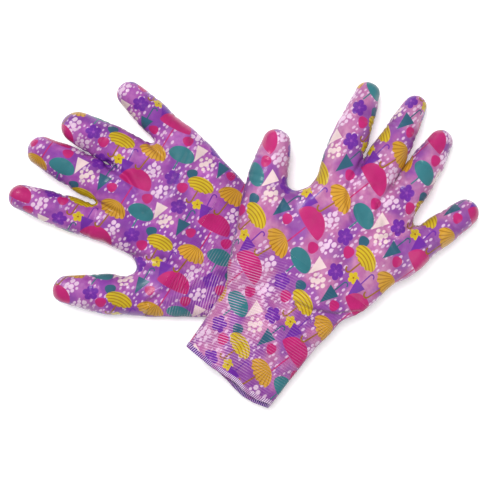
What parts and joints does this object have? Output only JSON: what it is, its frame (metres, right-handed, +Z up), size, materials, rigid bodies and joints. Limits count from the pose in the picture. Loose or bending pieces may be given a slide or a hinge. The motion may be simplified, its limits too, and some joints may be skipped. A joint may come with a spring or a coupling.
{
  "type": "pair of gardening gloves",
  "caption": "Pair of seamless knit gardening gloves with a printed liner, a clear dip over the hand and fingers, and ribbed elastic cuffs, laid crossed at the wrists.",
  "frame": {"origin": "on the table, under the middle of the pair's box", "axes": "+X to the right glove's side, +Y towards the fingertips, +Z up from the table"},
  "size_m": [0.3199, 0.2217, 0.0433],
  "materials": {
    "knit_liner": "fine plain knit polyester with an allover print",
    "clear_dip": "thin clear glossy dip over the print",
    "elastic_yarn": "covered elastic yarn",
    "hem_thread": "overlocked polyester thread"
  },
  "bodies": {
    "left_hand": {"left_hand_liner": "knit_liner", "left_hand_dip": "clear_dip", "left_cuff_rib": "knit_liner", "left_cuff_elastic": "elastic_yarn", "left_cuff_hem": "hem_thread"},
    "right_hand": {"right_hand_liner": "knit_liner", "right_hand_dip": "clear_dip", "right_cuff_rib": "knit_liner", "right_cuff_elastic": "elastic_yarn", "right_cuff_hem": "hem_thread"},
    "left_thumb_base": {"left_thumb_base_liner": "knit_liner", "left_thumb_base_dip": "clear_dip"},
    "left_thumb_tip": {"left_thumb_tip_liner": "knit_liner", "left_thumb_tip_dip": "clear_dip"},
    "left_index_base": {"left_index_base_liner": "knit_liner", "left_index_base_dip": "clear_dip"},
    "left_index_tip": {"left_index_tip_liner": "knit_liner", "left_index_tip_dip": "clear_dip"},
    "left_middle_base": {"left_middle_base_liner": "knit_liner", "left_middle_base_dip": "clear_dip"},
    "left_middle_tip": {"left_middle_tip_liner": "knit_liner", "left_middle_tip_dip": "clear_dip"},
    "left_ring_base": {"left_ring_base_liner": "knit_liner", "left_ring_base_dip": "clear_dip"},
    "left_ring_tip": {"left_ring_tip_liner": "knit_liner", "left_ring_tip_dip": "clear_dip"},
    "left_little_base": {"left_little_base_liner": "knit_liner", "left_little_base_dip": "clear_dip"},
    "left_little_tip": {"left_little_tip_liner": "knit_liner", "left_little_tip_dip": "clear_dip"},
    "right_thumb_base": {"right_thumb_base_liner": "knit_liner", "right_thumb_base_dip": "clear_dip"},
    "right_thumb_tip": {"right_thumb_tip_liner": "knit_liner", "right_thumb_tip_dip": "clear_dip"},
    "right_index_base": {"right_index_base_liner": "knit_liner", "right_index_base_dip": "clear_dip"},
    "right_index_tip": {"right_index_tip_liner": "knit_liner", "right_index_tip_dip": "clear_dip"},
    "right_middle_base": {"right_middle_base_liner": "knit_liner", "right_middle_base_dip": "clear_dip"},
    "right_middle_tip": {"right_middle_tip_liner": "knit_liner", "right_middle_tip_dip": "clear_dip"},
    "right_ring_base": {"right_ring_base_liner": "knit_liner", "right_ring_base_dip": "clear_dip"},
    "right_ring_tip": {"right_ring_tip_liner": "knit_liner", "right_ring_tip_dip": "clear_dip"},
    "right_little_base": {"right_little_base_liner": "knit_liner", "right_little_base_dip": "clear_dip"},
    "right_little_tip": {"right_little_tip_liner": "knit_liner", "right_little_tip_dip": "clear_dip"}
  },
  "joints": [
    {"name": "right_glove_lift", "type": "slide", "parent": "left_hand", "child": "right_hand", "axis": [0, 0, 1], "range_m": [0, 0.15]},
    {"name": "left_thumb_root", "type": "hinge", "parent": "left_hand", "child": "left_thumb_base", "pos_m": [-0.07756, -0.03417, 0.01983], "axis": [0.0448, 0.999, 0], "range_deg": [-10, 45], "stiffness_Nm_per_rad": 0.06},
    {"name": "left_thumb_knuckle", "type": "hinge", "parent": "left_thumb_base", "child": "left_thumb_tip", "pos_m": [-0.09899, -0.03293, 0.02158], "axis": [0.095, 0.9955, 0], "range_deg": [-10, 55], "stiffness_Nm_per_rad": 0.06},
    {"name": "left_index_root", "type": "hinge", "parent": "left_hand", "child": "left_index_base", "pos_m": [-0.09959, 0.01534, 0.01787], "axis": [0.3099, 0.9508, 0], "range_deg": [-10, 60], "stiffness_Nm_per_rad": 0.06},
    {"name": "left_index_knuckle", "type": "hinge", "parent": "left_index_base", "child": "left_index_tip", "pos_m": [-0.12453, 0.02366, 0.0205], "axis": [0.3239, 0.9461, 0], "range_deg": [-10, 70], "stiffness_Nm_per_rad": 0.06},
    {"name": "left_middle_root", "type": "hinge", "parent": "left_hand", "child": "left_middle_base", "pos_m": [-0.09397, 0.04095, 0.01847], "axis": [0.4982, 0.8671, 0], "range_deg": [-10, 60], "stiffness_Nm_per_rad": 0.06},
    {"name": "left_middle_knuckle", "type": "hinge", "parent": "left_middle_base", "child": "left_middle_tip", "pos_m": [-0.11637, 0.05315, 0.02146], "axis": [0.477, 0.8789, 0], "range_deg": [-10, 70], "stiffness_Nm_per_rad": 0.06},
    {"name": "left_ring_root", "type": "hinge", "parent": "left_hand", "child": "left_ring_base", "pos_m": [-0.0759, 0.06207, 0.01823], "axis": [0.4769, 0.8789, 0], "range_deg": [-10, 60], "stiffness_Nm_per_rad": 0.06},
    {"name": "left_ring_knuckle", "type": "hinge", "parent": "left_ring_base", "child": "left_ring_tip", "pos_m": [-0.09578, 0.07259, 0.02084], "axis": [0.4455, 0.8953, 0], "range_deg": [-10, 70], "stiffness_Nm_per_rad": 0.06},
    {"name": "left_little_root", "type": "hinge", "parent": "left_hand", "child": "left_little_base", "pos_m": [-0.05026, 0.07843, 0.01741], "axis": [0.6877, 0.726, 0], "range_deg": [-10, 60], "stiffness_Nm_per_rad": 0.06},
    {"name": "left_little_knuckle", "type": "hinge", "parent": "left_little_base", "child": "left_little_tip", "pos_m": [-0.06496, 0.09191, 0.01911], "axis": [0.6822, 0.7312, 0], "range_deg": [-10, 70], "stiffness_Nm_per_rad": 0.06},
    {"name": "right_thumb_root", "type": "hinge", "parent": "right_hand", "child": "right_thumb_base", "pos_m": [0.01447, 0.03652, 0.02378], "axis": [-0.9734, 0.2291, 0], "range_deg": [-10, 45], "stiffness_Nm_per_rad": 0.06},
    {"name": "right_thumb_knuckle", "type": "hinge", "parent": "right_thumb_base", "child": "right_thumb_tip", "pos_m": [0.01941, 0.05433, 0.02167], "axis": [-0.9628, 0.2704, 0], "range_deg": [-10, 55], "stiffness_Nm_per_rad": 0.06},
    {"name": "right_index_root", "type": "hinge", "parent": "right_hand", "child": "right_index_base", "pos_m": [0.06788, 0.0594, 0.021], "axis": [-0.9377, 0.3476, 0], "range_deg": [-10, 60], "stiffness_Nm_per_rad": 0.06},
    {"name": "right_index_knuckle", "type": "hinge", "parent": "right_index_base", "child": "right_index_tip", "pos_m": [0.07728, 0.08268, 0.01697], "axis": [-0.9261, 0.3773, 0], "range_deg": [-10, 70], "stiffness_Nm_per_rad": 0.06},
    {"name": "right_middle_root", "type": "hinge", "parent": "right_hand", "child": "right_middle_base", "pos_m": [0.09321, 0.05191, 0.02032], "axis": [-0.8528, 0.5222, 0], "range_deg": [-10, 60], "stiffness_Nm_per_rad": 0.06},
    {"name": "right_middle_knuckle", "type": "hinge", "parent": "right_middle_base", "child": "right_middle_tip", "pos_m": [0.10638, 0.07388, 0.01641], "axis": [-0.8638, 0.5038, 0], "range_deg": [-10, 70], "stiffness_Nm_per_rad": 0.06},
    {"name": "right_ring_root", "type": "hinge", "parent": "right_hand", "child": "right_ring_base", "pos_m": [0.10962, 0.03122, 0.02096], "axis": [-0.8313, 0.5558, 0], "range_deg": [-10, 60], "stiffness_Nm_per_rad": 0.06},
    {"name": "right_ring_knuckle", "type": "hinge", "parent": "right_ring_base", "child": "right_ring_tip", "pos_m": [0.12261, 0.05083, 0.01701], "axis": [-0.8314, 0.5557, 0], "range_deg": [-10, 70], "stiffness_Nm_per_rad": 0.06},
    {"name": "right_little_root", "type": "hinge", "parent": "right_hand", "child": "right_little_base", "pos_m": [0.12473, 0.00303, 0.02188], "axis": [-0.5698, 0.8218, 0], "range_deg": [-10, 60], "stiffness_Nm_per_rad": 0.06},
    {"name": "right_little_knuckle", "type": "hinge", "parent": "right_little_base", "child": "right_little_tip", "pos_m": [0.13931, 0.01328, 0.01911], "axis": [-0.5674, 0.8234, 0], "range_deg": [-10, 70], "stiffness_Nm_per_rad": 0.06}
  ]
}
